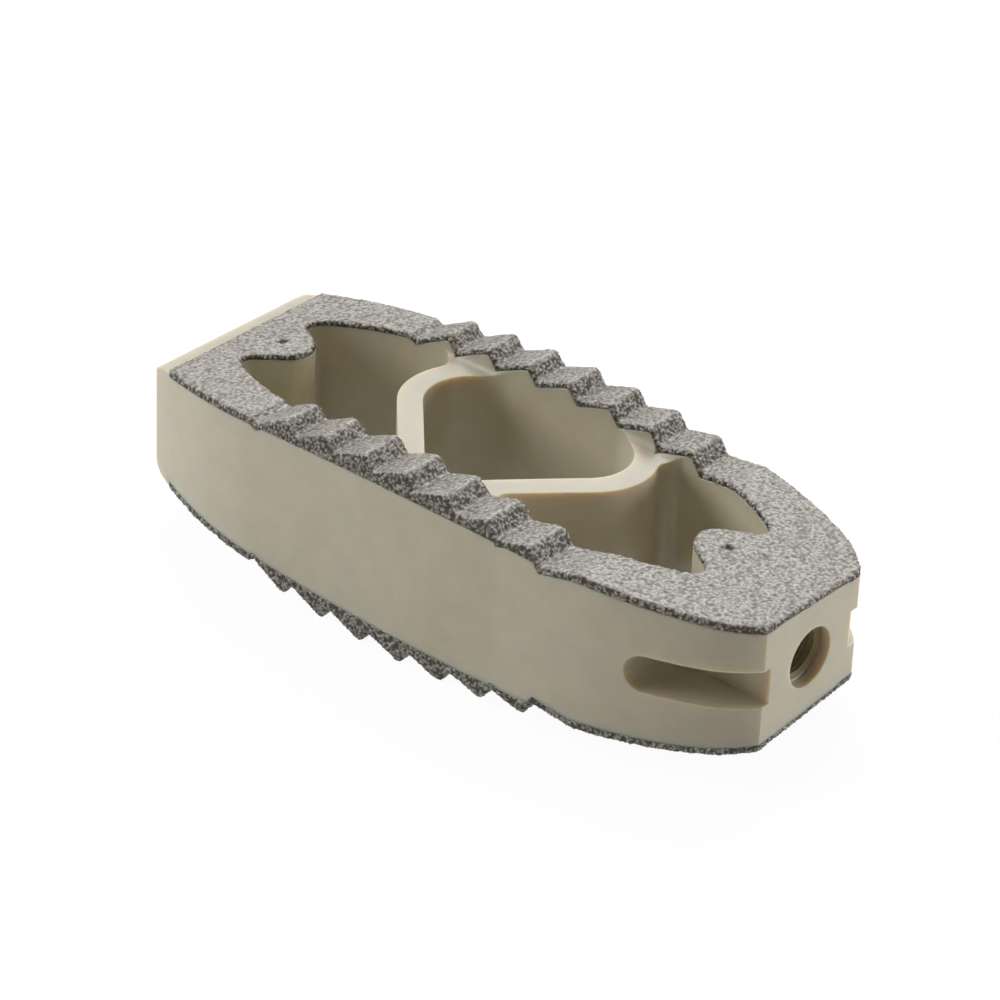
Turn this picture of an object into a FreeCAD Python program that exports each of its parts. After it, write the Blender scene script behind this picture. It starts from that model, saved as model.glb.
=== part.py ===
# Lateral spinal interbody cage, in millimetres. A polymer frame with three bone graft windows
# carries a sprayed porous titanium skin on its toothed upper and lower faces, and holds two
# X-ray marker pins. +X points from the bullet nose to the tail with the inserter thread and
# +Z up through the windows. The two faces lean towards each other, and the side at -Y is taller.
import FreeCAD, Part
import math
import os

V = FreeCAD.Vector

# Outline seen from above
length = 45.0
width = 18.0
lordosis_deg = 6.0
widest_x = 4.0
flank_radius = 380.0
nose_flank_radius = 28.0
nose_flank_start_x = -12.0
tail_flank_radius = 27.0
tail_flank_start_x = 9.0
nose_corner_radius = 0.9
tail_corner_radius = 3.2

# Domed faces: heights above the middle plane, on the centre line
dome_top_x = 0.5
coated_dome_height = 5.15
coated_nose_radius = 170.0
coated_tail_radius = 220.0
mask_line_height = 4.5
mask_nose_radius = 200.0
mask_tail_radius = 280.0

# Porous coating
coating_thickness = 0.4
side_wrap = 0.35
rim_least = 0.1
bare_nose_length = 2.0
bare_nose_step = 0.2
nose_edge_radius = 1.6

# Teeth: a rising flank, a narrow flat crest and a steep face towards the tail
tooth_count = 7
tooth_pitch = 3.1
first_root_x = -12.1
lead_in = 0.5
run_out = 2.8
flank_length = 2.15
crest_flat = 0.3
tooth_depth = 0.87
root_height = 5.22
root_top_x = -1.5
root_radius = 66.0

# Graft windows and the two struts between them; an inset is measured from half the length
pattern_x = -0.8
pattern_y = 0.2
field_half_width = 5.9
field_straight_inset = 13.0
lobe_inset = 5.9
lobe_radius = 0.8
nub_inset = 6.05
nub_radius = 1.6
nub_lobe_clearance = 0.628
strut_thickness = 1.55
strut_angle_deg = 49.0
middle_corner_x = 3.95
middle_corner_radius = 3.2
middle_apex_radius = 1.6
strut_foot_radius = 1.0
strut_recess = 0.1
strut_dome_radius = 220.0
recess_edge_radius = 0.6

# Inserter seat in the tail
thread_radius = 1.75
thread_length = 3.8
thread_cone = 0.7
mouth_radius = 1.92
mouth_depth = 0.8
slot_height = 2.5
slot_length = 7.15
slot_floor_y = 3.8
slot_runout_start = 3.9
slot_runout_radius = 5.0

# Marker pins
pin_inset = 5.5
pin_radius = 0.5
pin_recess = 0.2

nose_x = -length / 2
tail_x = length / 2
half_width = width / 2
coat_front_x = nose_x + bare_nose_length
field_straight = tail_x - field_straight_inset
lobe_x = tail_x - lobe_inset
nub_x = tail_x - nub_inset
pin_x = tail_x - pin_inset
lean = math.tan(math.radians(lordosis_deg / 2))

# How far a sweep across the width or an upright cut runs, well past the part
reach = width
deep = length


def line(start, end):
    return Part.LineSegment(start, end).toShape()


def polar(centre, radius, angle):
    return centre + V(radius * math.cos(angle), radius * math.sin(angle), 0)


def arc(centre, radius, start_angle, end_angle):
    middle_angle = (start_angle + end_angle) / 2
    points = [polar(centre, radius, a) for a in (start_angle, middle_angle, end_angle)]
    return Part.Arc(*points).toShape()


def flip_y(edges):
    flipped = [edge.mirror(V(0, 0, 0), V(0, 1, 0)) for edge in edges]
    return flipped[::-1]


def face_of(edges):
    return Part.Face(Part.Wire(Part.__sortEdges__(edges)))


def upright(face):
    prism = face.copy()
    prism.translate(V(0, 0, -deep))
    return prism.extrude(V(0, 0, 2 * deep))


def upside_down(shape):
    return shape.mirror(V(0, 0, 0), V(0, 0, 1))


# Outline: on each side a long flank arc, tangent to a nose arc and a tail arc
def plan_prism(inset):
    flank_centre = V(widest_x, half_width - flank_radius, 0)
    nose_angle = math.acos((nose_flank_start_x - widest_x) / flank_radius)
    tail_angle = math.acos((tail_flank_start_x - widest_x) / flank_radius)
    nose_centre = polar(flank_centre, flank_radius - nose_flank_radius, nose_angle)
    tail_centre = polar(flank_centre, flank_radius - tail_flank_radius, tail_angle)
    nose_r = nose_flank_radius - inset
    tail_r = tail_flank_radius - inset
    nose_end_angle = math.acos((nose_x - nose_centre.x) / nose_r)
    tail_end_angle = math.acos((tail_x - tail_centre.x) / tail_r)
    side = [
        arc(nose_centre, nose_r, nose_end_angle, nose_angle),
        arc(flank_centre, flank_radius - inset, nose_angle, tail_angle),
        arc(tail_centre, tail_r, tail_angle, tail_end_angle),
    ]
    nose_corner = polar(nose_centre, nose_r, nose_end_angle)
    tail_corner = polar(tail_centre, tail_r, tail_end_angle)
    ends = [
        line(V(nose_x, -nose_corner.y, 0), nose_corner),
        line(tail_corner, V(tail_x, -tail_corner.y, 0)),
    ]
    prism = upright(face_of(side + ends + flip_y(side)))
    prism = round_corners(prism, nose_x, nose_corner.y, nose_corner_radius)
    return round_corners(prism, tail_x, tail_corner.y, tail_corner_radius)


def round_corners(prism, x, y, radius):
    corners = [e for e in prism.Edges if stands_at(e, x, y) or stands_at(e, x, -y)]
    return prism.makeFillet(radius, corners)


def stands_at(edge, x, y):
    here = edge.CenterOfMass
    tall = edge.BoundBox.ZLength > deep
    return tall and abs(here.x - x) < 1e-4 and abs(here.y - y) < 1e-4


# Side profiles, drawn in the XZ plane, swept across the width and tipped by half the lordosis
def dome_height(x, top, nose_radius, tail_radius):
    radius = nose_radius if x < dome_top_x else tail_radius
    return top - radius + math.sqrt(radius ** 2 - (x - dome_top_x) ** 2)


def dome_edges(start_x, end_x, top, nose_radius, tail_radius):
    stops = [start_x, end_x]
    if start_x < dome_top_x < end_x:
        stops.insert(1, dome_top_x)
    edges = []
    for a, b in zip(stops, stops[1:]):
        middle = (a + b) / 2
        points = [V(x, 0, dome_height(x, top, nose_radius, tail_radius)) for x in (a, middle, b)]
        edges.append(Part.Arc(*points).toShape())
    return edges


def coated_height(x):
    return dome_height(x, coated_dome_height, coated_nose_radius, coated_tail_radius)


def root_z(x):
    return root_height - root_radius + math.sqrt(root_radius ** 2 - (x - root_top_x) ** 2)


def tooth_edges():
    start_x = first_root_x - lead_in
    corners = [V(start_x, 0, coated_height(start_x))]
    for i in range(tooth_count):
        x = first_root_x + i * tooth_pitch
        crest_x = x + flank_length
        corners.append(V(x, 0, root_z(x)))
        corners.append(V(crest_x, 0, root_z(crest_x) + tooth_depth))
        corners.append(V(crest_x + crest_flat, 0, root_z(crest_x + crest_flat) + tooth_depth))
    last_x = first_root_x + tooth_count * tooth_pitch
    end_x = last_x + run_out
    corners.append(V(last_x, 0, root_z(last_x)))
    corners.append(V(end_x, 0, coated_height(end_x)))
    return [line(a, b) for a, b in zip(corners, corners[1:])]


def coated_edges():
    dome = (coated_dome_height, coated_nose_radius, coated_tail_radius)
    teeth = tooth_edges()
    teeth_start = first_root_x - lead_in
    teeth_end = first_root_x + tooth_count * tooth_pitch + run_out
    return dome_edges(coat_front_x, teeth_start, *dome) + teeth + dome_edges(teeth_end, tail_x, *dome)


def nose_edges():
    top = coated_dome_height - bare_nose_step
    dome_centre = V(dome_top_x, 0, top - coated_nose_radius)
    to_fillet = nose_x + nose_edge_radius - dome_top_x
    fillet_distance = coated_nose_radius - nose_edge_radius
    rise = math.sqrt(fillet_distance ** 2 - to_fillet ** 2)
    fillet_centre = dome_centre + V(to_fillet, 0, rise)
    tangent = fillet_centre + V(to_fillet, 0, rise) * (nose_edge_radius / fillet_distance)
    middle_angle = (math.pi + math.atan2(rise, to_fillet)) / 2
    middle = fillet_centre + V(math.cos(middle_angle), 0, math.sin(middle_angle)) * nose_edge_radius
    start = fillet_centre - V(nose_edge_radius, 0, 0)
    rounded = Part.Arc(start, middle, tangent).toShape()
    return [rounded] + dome_edges(tangent.x, coat_front_x, top, coated_nose_radius, coated_tail_radius)


def lowered(edges, drop):
    moved = [edge.copy() for edge in edges]
    for edge in moved:
        edge.translate(V(0, 0, -drop))
    return moved


def ends_of(edges):
    first, last = edges[0], edges[-1]
    return first.firstVertex(True).Point, last.lastVertex(True).Point


def swept_across(face):
    start = face.copy()
    start.translate(V(0, -reach, 0))
    shape = start.extrude(V(0, 2 * reach, 0))
    shape.rotate(V(0, 0, 0), V(1, 0, 0), -lordosis_deg / 2)
    return shape


def face_below(edges):
    start, end = ends_of(edges)
    floor_start = V(start.x, 0, -deep)
    floor_end = V(end.x, 0, -deep)
    walls = [line(start, floor_start), line(floor_start, floor_end), line(floor_end, end)]
    return face_of(edges + walls)


def between_faces(face):
    half = swept_across(face)
    return half.common(upside_down(half))


def polymer_edges():
    return lowered(coated_edges(), coating_thickness)


# On the outer edge the polymer stops at the mask line, or rim_least under the skin if that is lower
def masked_face():
    mask = dome_edges(coat_front_x, tail_x, mask_line_height, mask_nose_radius, mask_tail_radius)
    rim = lowered(coated_edges(), coating_thickness + rim_least)
    return face_below(mask).common(face_below(rim))


# Graft windows: one field inside the walls, parted by two struts that run into a V.
# The end arc is tangent to the straight wall and to the lobe, which clears the nub.
def field_end_radius(lobe_y):
    drop = field_half_width - lobe_y
    span = lobe_x - field_straight
    return (span ** 2 + drop ** 2 - lobe_radius ** 2) / (2 * (drop - lobe_radius))


def field_quarter():
    lobe = V(lobe_x, nub_radius + lobe_radius + nub_lobe_clearance, 0)
    end_radius = field_end_radius(lobe.y)
    big = V(field_straight, field_half_width - end_radius, 0)
    nub = V(nub_x, 0, 0)
    join = math.atan2(lobe.y - big.y, lobe.x - big.x)
    gap = lobe - nub
    cross = math.atan2(gap.y, gap.x) + math.acos((nub_radius + lobe_radius) / gap.Length)
    return [
        line(V(0, field_half_width, 0), V(field_straight, field_half_width, 0)),
        arc(big, end_radius, math.pi / 2, join),
        arc(lobe, lobe_radius, join, cross - math.pi),
        line(polar(lobe, lobe_radius, cross - math.pi), polar(nub, nub_radius, cross)),
        arc(nub, nub_radius, cross, math.pi),
    ]


def field_prism():
    quarter = field_quarter()
    half = quarter + flip_y(quarter)
    other = [edge.mirror(V(0, 0, 0), V(1, 0, 0)) for edge in half]
    return placed(upright(face_of(half + other)))


def placed(shape):
    shape.translate(V(pattern_x, pattern_y, 0))
    return shape


def strut_slope():
    angle = math.radians(strut_angle_deg)
    return V(math.cos(angle), math.sin(angle), 0)


def middle_corner():
    return V(middle_corner_x, field_half_width - middle_corner_radius, 0)


def middle_window():
    corner = middle_corner()
    along = strut_slope()
    outward = V(along.y, -along.x, 0)
    turn = math.atan2(outward.y, outward.x)
    start = corner + outward * middle_corner_radius
    apex_y = corner.y - (middle_corner_radius + corner.x * along.y) / along.x
    apex = V(0, apex_y + middle_apex_radius / along.x, 0)
    side = [
        line(V(0, field_half_width, 0), V(corner.x, field_half_width, 0)),
        arc(corner, middle_corner_radius, math.pi / 2, turn),
        line(start, apex + outward * middle_apex_radius),
        arc(apex, middle_apex_radius, turn, -math.pi / 2),
    ]
    other = [edge.mirror(V(0, 0, 0), V(1, 0, 0)) for edge in side]
    return placed(upright(face_of(side + other)))


def strut_prism():
    corner = middle_corner()
    along = strut_slope()
    outward = V(along.y, -along.x, 0)
    turn = math.atan2(outward.y, outward.x)
    outer_radius = middle_corner_radius + strut_thickness
    foot_y = field_half_width - strut_foot_radius
    foot_distance = outer_radius + strut_foot_radius
    foot_x = corner.x + math.sqrt(foot_distance ** 2 - (foot_y - corner.y) ** 2)
    foot = V(foot_x, foot_y, 0)
    foot_turn = math.atan2(foot.y - corner.y, foot.x - corner.x)
    start = corner + outward * outer_radius
    toe_y = strut_foot_radius - field_half_width
    toe_offset = start + outward * strut_foot_radius
    toe = V(toe_offset.x + (toe_y - toe_offset.y) * along.x / along.y, toe_y, 0)
    beyond = field_half_width + strut_thickness
    side = [
        line(V(0, beyond, 0), V(foot.x, beyond, 0)),
        line(V(foot.x, beyond, 0), V(foot.x, field_half_width, 0)),
        arc(foot, strut_foot_radius, math.pi / 2, math.pi + foot_turn),
        arc(corner, outer_radius, foot_turn, turn),
        line(start, toe - outward * strut_foot_radius),
        arc(toe, strut_foot_radius, math.pi + turn, 1.5 * math.pi),
        line(V(toe.x, -field_half_width, 0), V(toe.x, -beyond, 0)),
        line(V(toe.x, -beyond, 0), V(0, -beyond, 0)),
    ]
    other = [edge.mirror(V(0, 0, 0), V(1, 0, 0)) for edge in side]
    return placed(upright(face_of(side + other)))


def windows():
    return field_prism().cut(strut_prism()).fuse(middle_window())


# Recess that sets the strut tops below the toothed faces, with rounded edges at the walls
def strut_recess_tool():
    half_span = field_straight + strut_foot_radius
    top = mask_line_height - strut_recess
    dome = (top, strut_dome_radius, strut_dome_radius)
    edges = dome_edges(pattern_x - half_span, pattern_x + half_span, *dome)
    start, end = ends_of(edges)
    ceiling = [
        line(start, V(start.x, 0, deep)),
        line(V(start.x, 0, deep), V(end.x, 0, deep)),
        line(V(end.x, 0, deep), end),
    ]
    band = Part.makeBox(2 * length, 2 * field_half_width, 2 * deep,
                        V(-length, pattern_y - field_half_width, -deep))
    tool = swept_across(face_of(edges + ceiling)).common(band)
    rims = [e for e in tool.Edges if lies_along_x(e)]
    return tool.makeFillet(recess_edge_radius, rims).common(field_prism())


def lies_along_x(edge):
    box = edge.BoundBox
    return box.XLength > 1 and box.YLength < 1e-3 and box.ZMax < deep / 2


# Inserter seat: a threaded bore with a plain mouth, and a gripping slot in each side
def thread_bore():
    mouth_x = tail_x - mouth_depth
    bottom_x = mouth_x - thread_length
    outline = [
        V(bottom_x - thread_cone, 0, 0), V(bottom_x, 0, thread_radius),
        V(mouth_x, 0, thread_radius), V(mouth_x, 0, mouth_radius),
        V(tail_x + mouth_depth, 0, mouth_radius), V(tail_x + mouth_depth, 0, 0),
    ]
    ring = outline + outline[:1]
    section = face_of([line(a, b) for a, b in zip(ring, ring[1:])])
    return section.revolve(V(0, 0, 0), V(1, 0, 0), 360)


def side_slot():
    radius = slot_height / 2
    end_x = tail_x - slot_length
    beyond_x = tail_x + slot_height
    opening = [
        line(V(beyond_x, 0, radius), V(end_x + radius, 0, radius)),
        Part.Arc(V(end_x + radius, 0, radius), V(end_x, 0, 0), V(end_x + radius, 0, -radius)).toShape(),
        line(V(end_x + radius, 0, -radius), V(beyond_x, 0, -radius)),
        line(V(beyond_x, 0, -radius), V(beyond_x, 0, radius)),
    ]
    through = face_of(opening).extrude(V(0, reach, 0))
    turn_x = tail_x - slot_runout_start
    centre = V(turn_x, slot_floor_y + slot_runout_radius, 0)
    run_out_end = polar(centre, slot_runout_radius, -math.pi)
    floor = [
        line(V(beyond_x, slot_floor_y, 0), V(turn_x, slot_floor_y, 0)),
        arc(centre, slot_runout_radius, -math.pi / 2, -math.pi),
        line(run_out_end, V(run_out_end.x, reach, 0)),
        line(V(run_out_end.x, reach, 0), V(beyond_x, reach, 0)),
        line(V(beyond_x, reach, 0), V(beyond_x, slot_floor_y, 0)),
    ]
    return through.common(upright(face_of(floor)))


# Marker pins stand upright in the two nubs, a little below the polymer surface
def polymer_height(x, y):
    return coated_height(x) - coating_thickness - lean * y


def marker_bore(x):
    return Part.makeCylinder(pin_radius, 2 * deep, V(x, pattern_y, -deep))


def marker_pin(x):
    half = polymer_height(x, pattern_y) - pin_recess
    return Part.makeCylinder(pin_radius, 2 * half, V(x, pattern_y, -half))


def polymer_blank():
    outer = plan_prism(0)
    nose = between_faces(face_below(nose_edges())).common(outer)
    skirt = between_faces(masked_face()).common(outer)
    core = between_faces(face_below(polymer_edges())).common(plan_prism(side_wrap))
    return nose.fuse(skirt).fuse(core)


def cage_body(nose_pin_x, tail_pin_x):
    body = polymer_blank()
    recess = strut_recess_tool()
    slot = side_slot()
    cuts = [
        windows(), recess, upside_down(recess), thread_bore(), slot,
        slot.mirror(V(0, 0, 0), V(0, 1, 0)), marker_bore(nose_pin_x), marker_bore(tail_pin_x),
    ]
    for tool in cuts:
        body = body.cut(tool)
    return body.removeSplitter()


# The coating is an even skin over the teeth, with a rim that wraps the outer edge
def upper_coating():
    top = coated_edges()
    low = polymer_edges()
    front = line(ends_of(top)[0], ends_of(low)[0])
    back = line(ends_of(top)[1], ends_of(low)[1])
    outer = plan_prism(0)
    skin = swept_across(face_of(top + [back] + low + [front])).common(outer)
    rim = swept_across(face_below(low).cut(masked_face())).common(outer).cut(plan_prism(side_wrap))
    return skin.fuse(rim).cut(field_prism()).removeSplitter()


def write(name, shape):
    solids = shape.Solids
    if len(solids) == 1:
        shape = solids[0]
    shape.exportStep("parts/%s.step" % name)
    print(name, "solids", len(solids), "valid", shape.isValid(), "volume", round(shape.Volume, 2))


def main():
    os.makedirs("parts", exist_ok=True)
    nose_pin_x = pattern_x - pin_x
    tail_pin_x = pattern_x + pin_x
    coating = upper_coating()
    write("cage_body", cage_body(nose_pin_x, tail_pin_x))
    write("upper_coating", coating)
    write("lower_coating", upside_down(coating))
    write("nose_marker_pin", marker_pin(nose_pin_x))
    write("tail_marker_pin", marker_pin(tail_pin_x))


main()
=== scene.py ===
import math
import bmesh
import bpy
from mathutils import Matrix, Vector, noise
from mathutils.bvhtree import BVHTree


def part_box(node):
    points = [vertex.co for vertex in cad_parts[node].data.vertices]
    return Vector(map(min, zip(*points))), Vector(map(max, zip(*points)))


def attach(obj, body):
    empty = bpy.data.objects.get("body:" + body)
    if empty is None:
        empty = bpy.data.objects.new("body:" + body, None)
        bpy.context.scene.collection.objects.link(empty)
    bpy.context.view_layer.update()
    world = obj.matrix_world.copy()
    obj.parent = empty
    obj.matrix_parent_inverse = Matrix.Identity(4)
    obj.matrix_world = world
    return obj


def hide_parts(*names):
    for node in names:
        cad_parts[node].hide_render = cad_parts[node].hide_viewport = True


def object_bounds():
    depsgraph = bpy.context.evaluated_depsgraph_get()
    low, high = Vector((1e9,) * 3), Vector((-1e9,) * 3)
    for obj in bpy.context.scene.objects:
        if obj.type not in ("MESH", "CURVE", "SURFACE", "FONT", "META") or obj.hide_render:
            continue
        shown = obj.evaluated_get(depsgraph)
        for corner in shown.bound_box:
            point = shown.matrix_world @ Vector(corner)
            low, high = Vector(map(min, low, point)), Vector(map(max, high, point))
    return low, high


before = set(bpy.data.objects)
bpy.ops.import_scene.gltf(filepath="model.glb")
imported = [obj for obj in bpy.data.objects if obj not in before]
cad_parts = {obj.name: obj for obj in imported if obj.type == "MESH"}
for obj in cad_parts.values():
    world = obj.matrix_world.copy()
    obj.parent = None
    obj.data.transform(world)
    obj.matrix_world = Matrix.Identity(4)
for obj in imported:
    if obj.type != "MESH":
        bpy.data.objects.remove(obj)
cadLow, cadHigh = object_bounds()
mm = 0.001
weldGap = 0.0005 * mm    # points of a CAD mesh this close are one point
touchGap = 0.0001 * mm   # the same for a mesh made here
print("frame loaded:", sorted(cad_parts))


# Small helpers for meshes and materials
def addPiece(name, mesh, material):
    piece = bpy.data.objects.new(name, mesh)
    bpy.context.scene.collection.objects.link(piece)
    mesh.materials.clear()
    mesh.materials.append(material)
    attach(piece, "root")
    return piece


def newMaterial(name):
    material = bpy.data.materials.new(name)
    material.use_nodes = True
    tree = material.node_tree
    return material, tree.nodes, tree.links, tree.nodes["Principled BSDF"]


def newNode(nodes, kind, **settings):
    node = nodes.new(kind)
    for key, value in settings.items():
        setattr(node, key, value)
    return node


# Pairs each step along a colour ramp with one of the look's colours
def colourStops(look, *names):
    return [(step, look[name]) for step, name in zip(look["steps"], names)]


# Speckle that every material uses: two sizes of noise, mixed, as a value from 0 to 1
speckleDetail = 3


def makeSpeckleGroup():
    group = bpy.data.node_groups.new("speckle", "ShaderNodeTree")
    for socketName, kind in (("Place", "NodeSocketVector"), ("Fine", "NodeSocketFloat"),
                             ("Coarse", "NodeSocketFloat"), ("Coarse Share", "NodeSocketFloat")):
        group.interface.new_socket(socketName, in_out="INPUT", socket_type=kind)
    group.interface.new_socket("Value", in_out="OUTPUT", socket_type="NodeSocketFloat")
    nodes, links = group.nodes, group.links
    ins, outs = nodes.new("NodeGroupInput"), nodes.new("NodeGroupOutput")
    fine = newNode(nodes, "ShaderNodeTexNoise")
    coarse = newNode(nodes, "ShaderNodeTexNoise")
    mix = newNode(nodes, "ShaderNodeMix", data_type="FLOAT")
    for texture, scaleName in ((fine, "Fine"), (coarse, "Coarse")):
        links.new(ins.outputs["Place"], texture.inputs["Vector"])
        links.new(ins.outputs[scaleName], texture.inputs["Scale"])
        texture.inputs["Detail"].default_value = speckleDetail
    links.new(ins.outputs["Coarse Share"], mix.inputs["Factor"])
    links.new(fine.outputs["Fac"], mix.inputs["A"])
    links.new(coarse.outputs["Fac"], mix.inputs["B"])
    links.new(mix.outputs["Result"], outs.inputs["Value"])
    return group


speckleGroup = makeSpeckleGroup()


def addSpeckle(nodes, links, fine, coarse, coarseShare):
    place = nodes.new("ShaderNodeTexCoord")
    speckle = newNode(nodes, "ShaderNodeGroup", node_tree=speckleGroup)
    links.new(place.outputs["Object"], speckle.inputs["Place"])
    speckle.inputs["Fine"].default_value = fine
    speckle.inputs["Coarse"].default_value = coarse
    speckle.inputs["Coarse Share"].default_value = coarseShare
    return speckle.outputs["Value"]


def addColours(nodes, links, value, stops):
    ramp = nodes.new("ShaderNodeValToRGB")
    steps = ramp.color_ramp.elements
    while len(steps) < len(stops):
        steps.new(0.5)
    for step, (position, colour) in zip(steps, stops):
        step.position = position
        step.color = (*colour, 1)
    links.new(value, ramp.inputs["Fac"])
    return ramp.outputs["Color"]


def addBump(nodes, links, height, distance, softEdge=0):
    bump = nodes.new("ShaderNodeBump")
    bump.inputs["Distance"].default_value = distance
    links.new(height, bump.inputs["Height"])
    if softEdge:
        bevel = newNode(nodes, "ShaderNodeBevel", samples=6)
        bevel.inputs["Radius"].default_value = softEdge
        links.new(bevel.outputs["Normal"], bump.inputs["Normal"])
    return bump.outputs["Normal"]


# Machined polymer: warm off-white, faintly translucent, a fine satin surface.
# A look's speckle is its fine scale, its coarse scale and the coarse one's share.
polymerLook = {
    "dark": (0.560, 0.508, 0.378),
    "light": (0.610, 0.556, 0.418),
    "steps": (0.35, 0.65),
    "speckle": (9000, 600, 0.6),
    "roughness": 0.40,
    "glowWeight": 1.0,
    "glowScale": 1.25 * mm,
    "glowRadius": (1.0, 0.60, 0.24),
    "shine": 0.6,
    "bumpHeight": 0.004 * mm,
    "edgeRadius": 0.14 * mm,
}


def makePolymer():
    look = polymerLook
    material, nodes, links, shader = newMaterial("polymer")
    speckle = addSpeckle(nodes, links, *look["speckle"])
    stops = colourStops(look, "dark", "light")
    links.new(addColours(nodes, links, speckle, stops), shader.inputs["Base Color"])
    normal = addBump(nodes, links, speckle, look["bumpHeight"], look["edgeRadius"])
    links.new(normal, shader.inputs["Normal"])
    shader.inputs["Roughness"].default_value = look["roughness"]
    shader.inputs["Specular IOR Level"].default_value = look["shine"]
    shader.inputs["Subsurface Weight"].default_value = look["glowWeight"]
    shader.inputs["Subsurface Scale"].default_value = look["glowScale"]
    shader.inputs["Subsurface Radius"].default_value = look["glowRadius"]
    return material


# Deep in the bore little white light comes back, so the thread is a darker, warmer tone of the polymer
threadLook = {
    "dark": (0.220, 0.160, 0.080),
    "light": (0.330, 0.250, 0.140),
    "steps": (0.35, 0.65),
    "speckle": (9000, 1500, 0.5),
    "bumpHeight": 0.004 * mm,
    "roughness": 0.55,
    "shine": 0.2,
}


def makeThreadPolymer():
    look = threadLook
    material, nodes, links, shader = newMaterial("thread polymer")
    speckle = addSpeckle(nodes, links, *look["speckle"])
    stops = colourStops(look, "dark", "light")
    links.new(addColours(nodes, links, speckle, stops), shader.inputs["Base Color"])
    links.new(addBump(nodes, links, speckle, look["bumpHeight"]), shader.inputs["Normal"])
    shader.inputs["Roughness"].default_value = look["roughness"]
    shader.inputs["Specular IOR Level"].default_value = look["shine"]
    return material


# Sprayed porous titanium: the grain attribute is 0 in the pits and 1 on the bead tops. The dark colour of
# the pits is partly the coating's own pores and partly painted shade in the low places of the grain
coatingLook = {
    "pitAndShade": (0.047, 0.040, 0.031),
    "slope": (0.224, 0.206, 0.177),
    "top": (0.374, 0.349, 0.306),
    "steps": (0.15, 0.42, 0.62),
    "speckle": (7500, 4800, 0.5),
    "speckleShare": 0.42,
    "roughness": 0.55,
    "metal": 0.5,
    "bumpHeight": 0.027 * mm,
}


def makePorousMetal():
    look = coatingLook
    material, nodes, links, shader = newMaterial("porous titanium")
    grain = newNode(nodes, "ShaderNodeAttribute", attribute_name="grain")
    speckle = addSpeckle(nodes, links, *look["speckle"])
    mix = newNode(nodes, "ShaderNodeMix", data_type="FLOAT")
    mix.inputs["Factor"].default_value = look["speckleShare"]
    links.new(grain.outputs["Fac"], mix.inputs["A"])
    links.new(speckle, mix.inputs["B"])
    value = mix.outputs["Result"]
    stops = colourStops(look, "pitAndShade", "slope", "top")
    links.new(addColours(nodes, links, value, stops), shader.inputs["Base Color"])
    links.new(addBump(nodes, links, value, look["bumpHeight"]), shader.inputs["Normal"])
    shader.inputs["Roughness"].default_value = look["roughness"]
    shader.inputs["Metallic"].default_value = look["metal"]
    return material


# X-ray marker pins: satin grey metal, all but hidden under the coating's dimples
markerLook = {
    "dark": (0.30, 0.30, 0.31),
    "light": (0.45, 0.45, 0.46),
    "steps": (0.3, 0.7),
    "speckle": (12000, 2500, 0.4),
    "bumpHeight": 0.003 * mm,
    "roughness": 0.35,
}


def makeMarkerMetal():
    look = markerLook
    material, nodes, links, shader = newMaterial("marker metal")
    speckle = addSpeckle(nodes, links, *look["speckle"])
    stops = colourStops(look, "dark", "light")
    links.new(addColours(nodes, links, speckle, stops), shader.inputs["Base Color"])
    links.new(addBump(nodes, links, speckle, look["bumpHeight"]), shader.inputs["Normal"])
    shader.inputs["Metallic"].default_value = 1
    shader.inputs["Roughness"].default_value = look["roughness"]
    return material


polymer = makePolymer()
threadPolymer = makeThreadPolymer()
porousMetal = makePorousMetal()
markerMetal = makeMarkerMetal()
pinNames = ("nose_marker_pin", "tail_marker_pin")
for pinName in pinNames:
    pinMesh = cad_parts[pinName].data
    pinMesh.materials.clear()
    pinMesh.materials.append(markerMetal)
print("materials made")


# Tail corners: the solid rounds them evenly. On the real cage a gentler arc leaves each flank, and
# the flat tail face cuts it off at a crisp upright edge. Points near the corner move to that outline.
tailCorner = {
    "solidCentre": Vector((19.3 * mm, 3.251 * mm)),
    "solidRadius": 3.2 * mm,
    "flankCentre": Vector((8.645 * mm, -18.031 * mm)),
    "flankRadius": 27 * mm,
    "arcRadius": 8 * mm,
    "edgeY": 4.4 * mm,
    "cutStep": math.radians(5),
    "fullDepth": 0.45 * mm,
    "fadeDepth": 1.6 * mm,
    "outerWall": 0.05 * mm,
    "upright": 0.1,
    "facing": 0.8,
}


def unit(angle):
    return Vector((math.cos(angle), math.sin(angle)))


def angleOf(vector):
    return math.atan2(vector.y, vector.x)


# The arc touches the flank from inside and ends on the tail face at edgeY
def arcCentre():
    spec = tailCorner
    fromEdge = Vector((cadHigh.x, spec["edgeY"])) - spec["flankCentre"]
    inner = spec["flankRadius"] - spec["arcRadius"]
    cosine = (inner ** 2 + fromEdge.length_squared - spec["arcRadius"] ** 2) / (2 * inner * fromEdge.length)
    return spec["flankCentre"] + inner * unit(angleOf(fromEdge) + math.acos(cosine))


cornerArc = arcCentre()
crispAngle = angleOf(Vector((cadHigh.x, tailCorner["edgeY"])) - tailCorner["solidCentre"])


def reachTo(centre, radius, start, angle):
    gap = centre - start
    along = gap.dot(unit(angle))
    return along + math.sqrt(radius ** 2 - gap.length_squared + along ** 2)


# How far the old and the new outline lie from the solid's corner centre, at one angle
def cornerReach(angle):
    spec = tailCorner
    start = spec["solidCentre"]
    touch = spec["flankCentre"] + spec["flankRadius"] * (cornerArc - spec["flankCentre"]).normalized()
    if not 0 < angle < angleOf(touch - start):
        return None
    old = spec["solidRadius"]
    if angle > angleOf(start - spec["flankCentre"]):
        old = reachTo(spec["flankCentre"], spec["flankRadius"], start, angle)
    flat = (cadHigh.x - start.x) / math.cos(angle)
    return old, min(flat, reachTo(cornerArc, spec["arcRadius"], start, angle))


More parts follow.
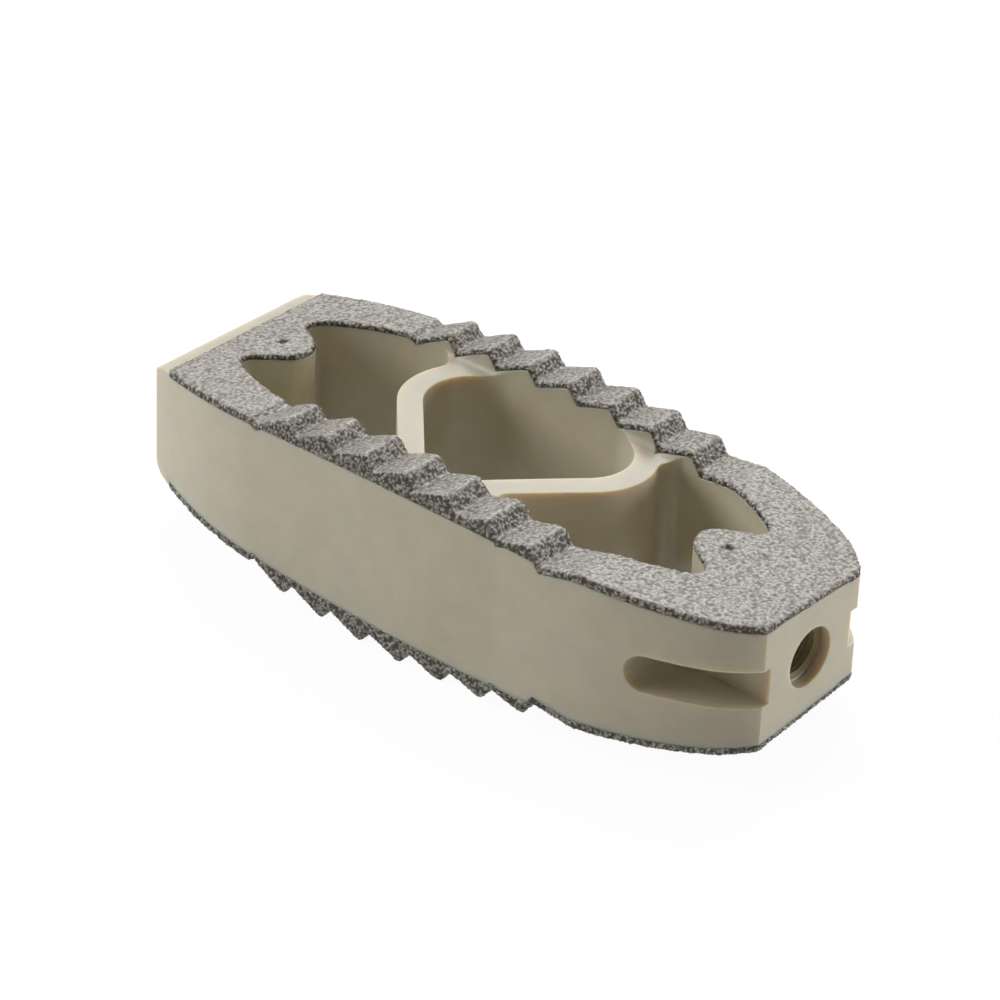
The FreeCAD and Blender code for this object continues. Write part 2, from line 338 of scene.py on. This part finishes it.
# The move is full near the outline and fades out with depth
def cornerMove(co):
    spec = tailCorner
    offset = Vector((co.x, abs(co.y))) - spec["solidCentre"]
    reaches = cornerReach(angleOf(offset))
    if reaches is None:
        return None
    old, new = reaches
    depth = old - offset.length
    share = min(1, (spec["fadeDepth"] - depth) / (spec["fadeDepth"] - spec["fullDepth"]))
    if share <= 0:
        return None
    move = offset.normalized() * (new - old) * share
    return Vector((move.x, math.copysign(1, co.y) * move.y, 0))


def shapeCorners(bm):
    moves = [(vert, cornerMove(vert.co)) for vert in bm.verts]
    for vert, move in moves:
        if move is not None:
            vert.co += move


# Upright cuts through each corner's centre give the new outline its points, one of them on the crisp edge
def cutCorners(bm):
    spec = tailCorner
    steps = int(math.pi / 2 / spec["cutStep"])
    angles = [crispAngle] + [spec["cutStep"] * step for step in range(1, steps)]
    for side in (1, -1):
        axis = Vector((spec["solidCentre"].x, side * spec["solidCentre"].y, 0))
        for angle in angles:
            near = [face for face in bm.faces
                    if any(vert.co.y * side > 0 and cornerMove(vert.co) is not None for vert in face.verts)]
            parts = dict.fromkeys(near)
            for face in near:
                parts.update(dict.fromkeys([*face.edges, *face.verts]))
            bmesh.ops.bisect_plane(bm, geom=list(parts), plane_co=axis, dist=touchGap,
                                   plane_no=(-math.sin(angle), side * math.cos(angle), 0))


# Shading of the outer wall follows the new outline: flat up to the crisp edge, then square to the arc
def cornerNormal(co, faceCentre):
    spec = tailCorner
    offset = Vector((co.x, abs(co.y))) - spec["solidCentre"]
    reaches = cornerReach(angleOf(offset))
    if reaches is None or reaches[0] - offset.length > spec["outerWall"]:
        return None
    centreAngle = angleOf(Vector((faceCentre.x, abs(faceCentre.y))) - spec["solidCentre"])
    if centreAngle < crispAngle:
        return Vector((1, 0, 0))
    square = (spec["solidCentre"] + reaches[1] * unit(angleOf(offset)) - cornerArc).normalized()
    return Vector((square.x, math.copysign(square.y, co.y), 0))


# The frame keeps the solid's own shading, carried through the cuts in a layer of the mesh
def makeBody():
    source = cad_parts["cage_body"].data
    bm = bmesh.new()
    bm.from_mesh(source)
    shading = bm.loops.layers.float_vector.new("shading")
    for face in bm.faces:
        for loop in face.loops:
            loop[shading] = source.corner_normals[loop.index].vector
    bmesh.ops.remove_doubles(bm, verts=bm.verts, dist=weldGap)
    cutCorners(bm)
    for face in bm.faces:
        face.smooth = True
        if abs(face.normal.z) >= tailCorner["upright"]:
            continue
        centre = face.calc_center_median()
        for loop in face.loops:
            changed = cornerNormal(loop.vert.co, centre)
            if changed is not None and changed.dot(face.normal) > tailCorner["facing"]:
                loop[shading] = changed
    shapeCorners(bm)
    bmesh.ops.triangulate(bm, faces=[face for face in bm.faces if len(face.verts) > 3])
    mesh = bpy.data.meshes.new("cage_frame")
    bm.to_mesh(mesh)
    bm.free()
    mesh.attributes.remove(mesh.attributes["custom_normal"])
    normals = [Vector(corner.vector).normalized() for corner in mesh.attributes["shading"].data]
    mesh.attributes.remove(mesh.attributes["shading"])
    mesh.normals_split_custom_set(normals)
    piece = addPiece("cage_frame", mesh, polymer)
    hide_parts("cage_body")
    print("cage_frame triangles", len(mesh.polygons))
    return mesh


bodyMesh = makeBody()


# Coating: each skin is cut into even small faces, then raised into beads and pits
coatingSkin = {
    "faceSize": 0.085 * mm,
    "roundingSteps": 8,
    "rimSteps": 10,
    "rimRings": 3,
    "rimLean": 0.35,
    "windowZone": (18.3 * mm, 6.7 * mm),
    "freeGap": 0.16 * mm,
    "beadSize": 0.20 * mm,
    "beadHeight": 0.055 * mm,
    "beadReach": 0.75,
    "beadMiddle": 0.4,
    "crumbSize": 0.12 * mm,
    "crumbHeight": 0.025 * mm,
    "steepFrom": 0.12,
    "steepSpan": 0.4,
    "steepExtra": 0.8,
    # painted shade: how far the grain, and so the colour, of steep faces is darkened
    "steepPaintedShade": 0.19,
    "steepContrast": 0.6,
    "middleGrain": 0.55,
    "swellSize": 0.8 * mm,
    "swellHeight": 0.03 * mm,
    "lift": 0.02 * mm,
    "hiddenGap": 0.03 * mm,
    "flatEnough": math.radians(8),
    "dimpleRadius": 0.36 * mm,
    "dimpleDepth": 0.2 * mm,
    "dimpleRagged": 0.12 * mm,
    "baseTone": 0.15,      # the tones make the grain attribute, which gives the colour
    "beadTone": 0.8,
    "crumbTone": 0.3,
    "dimpleTone": 0.8,
}


def evenFaces(source, faceSize):
    holder = bpy.data.objects.new("evenFaces", source.data.copy())
    bpy.context.scene.collection.objects.link(holder)
    weld = holder.modifiers.new("weld", "WELD")
    weld.merge_threshold = weldGap
    remesh = holder.modifiers.new("remesh", "REMESH")
    remesh.mode = "VOXEL"
    remesh.voxel_size = faceSize
    graph = bpy.context.evaluated_depsgraph_get()
    mesh = bpy.data.meshes.new_from_object(holder.evaluated_get(graph))
    bpy.data.objects.remove(holder)
    return mesh


def pinPlaces():
    places = []
    for name in pinNames:
        low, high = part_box(name)
        places.append((low + high) / 2)
    return places


def dimpleAt(place, pins):
    spec = coatingSkin
    nearest = min(Vector((place.x - pin.x, place.y - pin.y)).length for pin in pins)
    ragged = nearest + spec["dimpleRagged"] * noise.noise(place / spec["beadSize"])
    return max(0, 1 - (ragged / spec["dimpleRadius"]) ** 2)


def grainAt(place):
    spec = coatingSkin
    distances, _ = noise.voronoi(place / spec["beadSize"])
    bead = 1 - min(1, distances[0] / spec["beadReach"])
    crumb = noise.noise(place / spec["crumbSize"])
    swell = noise.noise(place / spec["swellSize"])
    return bead, crumb, swell


def smooth(bm, verts, steps):
    for _ in range(steps):
        bmesh.ops.smooth_vert(bm, verts=verts, factor=0.5, use_axis_x=True, use_axis_y=True, use_axis_z=True)


# The upright walls of the skin inside the windows, with a few rings of points round them.
# windowZone is a half length and a half width about the middle, and keeps the outer rim out.
def windowRims(free):
    spec = coatingSkin
    reachX, reachY = spec["windowZone"]
    rims = {v for v in free
            if abs(v.normal.z) < spec["rimLean"] and abs(v.co.x) < reachX and abs(v.co.y) < reachY}
    freeSet = set(free)
    for _ in range(spec["rimRings"]):
        rims.update([e.other_vert(v) for v in rims for e in v.link_edges if e.other_vert(v) in freeSet])
    return [v for v in free if v in rims]


# The spray rounds every edge that stands clear of the polymer, most of all the window rims
def roundFreeEdges(bm, body):
    bm.normal_update()
    free = [v for v in bm.verts if body.find_nearest(v.co, coatingSkin["freeGap"])[0] is None]
    rims = windowRims(free)
    smooth(bm, free, coatingSkin["roundingSteps"])
    smooth(bm, rims, coatingSkin["rimSteps"])
    bm.normal_update()


# How steep a face is, 0 level to 1 upright. Steep faces catch the spray at a low angle, so their grain is
# taller and of more contrast; their colour is also darkened there, as painted shade where they turn from the
# light
def steepAt(normal):
    lean = 1 - abs(normal.z)
    share = min(1, max(0, (lean - coatingSkin["steepFrom"]) / coatingSkin["steepSpan"]))
    return share * share * (3 - 2 * share)


def roughen(mesh, body, pins):
    spec = coatingSkin
    bm = bmesh.new()
    bm.from_mesh(mesh)
    shapeCorners(bm)
    grainLayer = bm.verts.layers.float.new("grain")
    roundFreeEdges(bm, body)
    hidden = []
    moves = []
    for vert in bm.verts:
        _, _, _, gap = body.find_nearest(vert.co, spec["hiddenGap"])
        if gap is not None:
            hidden.append(vert)
            continue
        bead, crumb, swell = grainAt(vert.co)
        dimple = dimpleAt(vert.co, pins)
        steep = steepAt(vert.normal)
        grainHeight = spec["beadHeight"] * (bead - spec["beadMiddle"]) + spec["crumbHeight"] * crumb
        height = (spec["lift"] + grainHeight * (1 + spec["steepExtra"] * steep)
                  + spec["swellHeight"] * swell - spec["dimpleDepth"] * dimple)
        # the grain is low where the beads are low, so these places get the dark colour of the pits: partly
        # the pores, partly painted shade
        grain = (bead * spec["beadTone"] + crumb * spec["crumbTone"] + spec["baseTone"]
                 - spec["dimpleTone"] * dimple)
        grain += (grain - spec["middleGrain"]) * spec["steepContrast"] * steep
        # painted shade: the grain, and so the colour, is darkened on steep faces
        vert[grainLayer] = grain - spec["steepPaintedShade"] * steep
        moves.append((vert, vert.normal * height))
    for vert, move in moves:
        vert.co += move
    hiddenSet = set(hidden)
    innerEdges = [e for e in bm.edges if all(v in hiddenSet for v in e.verts)]
    bmesh.ops.dissolve_limit(bm, angle_limit=spec["flatEnough"], verts=hidden,
                             edges=innerEdges, use_dissolve_boundaries=False)
    bmesh.ops.triangulate(bm, faces=[f for f in bm.faces if len(f.verts) > 4])
    for face in bm.faces:
        face.smooth = True
    bm.to_mesh(mesh)
    triangles = sum(len(f.verts) - 2 for f in bm.faces)
    bm.free()
    return triangles


def bodyTree():
    bm = bmesh.new()
    bm.from_mesh(bodyMesh)
    tree = BVHTree.FromBMesh(bm)
    bm.free()
    return tree


def makeCoatings():
    body = bodyTree()
    pins = pinPlaces()
    for nodeName in ("upper_coating", "lower_coating"):
        mesh = evenFaces(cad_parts[nodeName], coatingSkin["faceSize"])
        triangles = roughen(mesh, body, pins)
        piece = addPiece(nodeName + "_grain", mesh, porousMetal)
        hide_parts(nodeName)
        print(piece.name, "triangles", triangles)


makeCoatings()


# Inserter thread: one ridge that winds round the inside of the tail bore
thread = {
    "rootRadius": 1.94 * mm,
    "crestRadius": 1.5 * mm,
    "pitch": 0.65 * mm,
    "rootWidth": 0.62 * mm,
    "crestWidth": 0.12 * mm,
    "mouthGap": 0.45 * mm,
    "turns": 5,
    "stepsPerTurn": 60,
    "sortAlong": Vector((1, 0.37, 0.61)),    # a slant, so that points and faces get the same order each run
}


def makeThread():
    spec = thread
    startX = cadHigh.x - spec["mouthGap"] - spec["rootWidth"] / 2 - spec["turns"] * spec["pitch"]
    bm = bmesh.new()
    rootX, crestX = spec["rootWidth"] / 2, spec["crestWidth"] / 2
    corners = [(-rootX, spec["rootRadius"]), (rootX, spec["rootRadius"]),
               (crestX, spec["crestRadius"]), (-crestX, spec["crestRadius"])]
    section = bm.faces.new([bm.verts.new((startX + x, 0, z)) for x, z in corners])
    steps = spec["turns"] * spec["stepsPerTurn"]
    bmesh.ops.spin(bm, geom=[section, *section.edges, *section.verts], cent=(0, 0, 0), axis=(1, 0, 0),
                   dvec=(spec["pitch"] / spec["stepsPerTurn"], 0, 0), angle=2 * math.pi * spec["turns"],
                   steps=steps, use_merge=False, use_duplicate=False)
    bmesh.ops.remove_doubles(bm, verts=bm.verts, dist=touchGap)
    bmesh.ops.recalc_face_normals(bm, faces=bm.faces)
    bmesh.ops.triangulate(bm, faces=bm.faces, quad_method="SHORT_EDGE")
    bm.verts.sort(key=lambda vert: vert.co.dot(spec["sortAlong"]))
    bm.faces.sort(key=lambda face: face.calc_center_median().dot(spec["sortAlong"]))
    mesh = bpy.data.meshes.new("inserter_thread_ridge")
    bm.to_mesh(mesh)
    bm.free()
    addPiece("inserter_thread_ridge", mesh, threadPolymer)
    print("thread made")


makeThread()


# Floor: pale, tipped so that the lower crests rest on it, and white to the camera with a soft shadow
floorPlan = {
    "half": 1.5,
    "dark": (0.8036, 0.8036, 0.8036),
    "light": (0.82, 0.82, 0.82),
    "steps": (0.3, 0.7),
    "speckle": (40, 6, 0.5),
    "roughness": 0.9,
    "ownWhite": 0.90,
    "white": 1.05,
    "lean": math.radians(3),
}


# White to the camera, in gloss and through glass; plain to every other ray
def showWhite(nodes, links, plain, white):
    light = nodes.new("ShaderNodeLightPath")
    first = newNode(nodes, "ShaderNodeMath", operation="MAXIMUM")
    second = newNode(nodes, "ShaderNodeMath", operation="MAXIMUM")
    links.new(light.outputs["Is Camera Ray"], first.inputs[0])
    links.new(light.outputs["Is Glossy Ray"], first.inputs[1])
    links.new(first.outputs[0], second.inputs[0])
    links.new(light.outputs["Is Transmission Ray"], second.inputs[1])
    mix = nodes.new("ShaderNodeMixShader")
    links.new(second.outputs[0], mix.inputs[0])
    links.new(plain, mix.inputs[1])
    links.new(white, mix.inputs[2])
    return mix.outputs[0]


def makeFloor():
    spec = floorPlan
    material, nodes, links, shader = newMaterial("pale floor")
    speckle = addSpeckle(nodes, links, *spec["speckle"])
    stops = colourStops(spec, "dark", "light")
    links.new(addColours(nodes, links, speckle, stops), shader.inputs["Base Color"])
    shader.inputs["Roughness"].default_value = spec["roughness"]
    glow = nodes.new("ShaderNodeEmission")
    glow.inputs["Strength"].default_value = spec["white"]
    shown = nodes.new("ShaderNodeMixShader")
    shown.inputs[0].default_value = spec["ownWhite"]
    links.new(shader.outputs[0], shown.inputs[1])
    links.new(glow.outputs[0], shown.inputs[2])
    output = nodes["Material Output"]
    links.new(showWhite(nodes, links, shader.outputs[0], shown.outputs[0]), output.inputs["Surface"])
    bm = bmesh.new()
    bmesh.ops.create_grid(bm, x_segments=2, y_segments=2, size=spec["half"])
    bmesh.ops.rotate(bm, verts=bm.verts, cent=(0, 0, 0), matrix=Matrix.Rotation(spec["lean"], 3, "X"))
    lowest = min(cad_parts["lower_coating"].data.vertices,
                 key=lambda v: v.co.z - v.co.y * math.tan(spec["lean"])).co
    drop = lowest.z - lowest.y * math.tan(spec["lean"])
    bmesh.ops.translate(bm, verts=bm.verts, vec=(0, 0, drop))
    mesh = bpy.data.meshes.new("floor")
    bm.to_mesh(mesh)
    bm.free()
    mesh.materials.append(material)
    floor = bpy.data.objects.new("floor", mesh)
    bpy.context.scene.collection.objects.link(floor)


makeFloor()


# Light: broad soft lamps above and behind, by the nose and by the tail, in a dim plain world
lamps = {
    "overhead": {"from": (-0.16, 0.25, 0.37), "size": 0.30, "watts": 1.42, "tint": (1.0, 1.035, 1.12)},
    "noseSide": {"from": (-0.44, -0.27, 0.25), "size": 0.30, "watts": 1.83, "tint": (1.0, 1.015, 1.06)},
    "tailSide": {"from": (0.35, 0.33, 0.08), "size": 0.20, "watts": 1.20, "tint": (1.0, 1.01, 1.06)},
}
worldLook = {"colour": (1.0, 0.935, 0.81), "strength": 0.16}


def makeLights():
    for name, spec in lamps.items():
        data = bpy.data.lights.new(name, "AREA")
        data.size = spec["size"]
        data.energy = spec["watts"]
        data.color = spec["tint"]
        lamp = bpy.data.objects.new(name, data)
        bpy.context.scene.collection.objects.link(lamp)
        lamp.location = spec["from"]
        lamp.rotation_euler = Vector(spec["from"]).to_track_quat("Z", "Y").to_euler()
    world = bpy.data.worlds.new("pale world")
    bpy.context.scene.world = world
    world.use_nodes = True
    nodes, links = world.node_tree.nodes, world.node_tree.links
    plain = nodes["Background"]
    plain.inputs["Color"].default_value = (*worldLook["colour"], 1)
    plain.inputs["Strength"].default_value = worldLook["strength"]
    white = nodes.new("ShaderNodeBackground")
    white.inputs["Color"].default_value = (1, 1, 1, 1)
    white.inputs["Strength"].default_value = 1
    shown = showWhite(nodes, links, plain.outputs[0], white.outputs[0])
    links.new(shown, nodes["World Output"].inputs["Surface"])


makeLights()


# Camera: a long lens above the near tail corner
cameraPlan = {
    "aim": (-0.87 * mm, 0.62 * mm, 0),
    "distance": 303.2 * mm,
    "azimuth": math.radians(38.15),
    "elevation": math.radians(33.17),
    "roll": math.radians(2.52),
    "lens": 184.16,
    "sensor": 36,
}


def makeCamera():
    spec = cameraPlan
    data = bpy.data.cameras.new("camera")
    data.lens = spec["lens"]
    data.sensor_width = spec["sensor"]
    data.clip_start = 0.01
    camera = bpy.data.objects.new("camera", data)
    bpy.context.scene.collection.objects.link(camera)
    turn = (Matrix.Rotation(spec["azimuth"], 4, "Z")
            @ Matrix.Rotation(math.pi / 2 - spec["elevation"], 4, "X")
            @ Matrix.Rotation(spec["roll"], 4, "Z"))
    away = turn.to_3x3() @ Vector((0, 0, spec["distance"]))
    camera.matrix_world = Matrix.Translation(Vector(spec["aim"]) + away) @ turn
    bpy.context.scene.camera = camera


makeCamera()
bpy.context.scene.view_settings.view_transform = "Standard"
print("light and camera made")
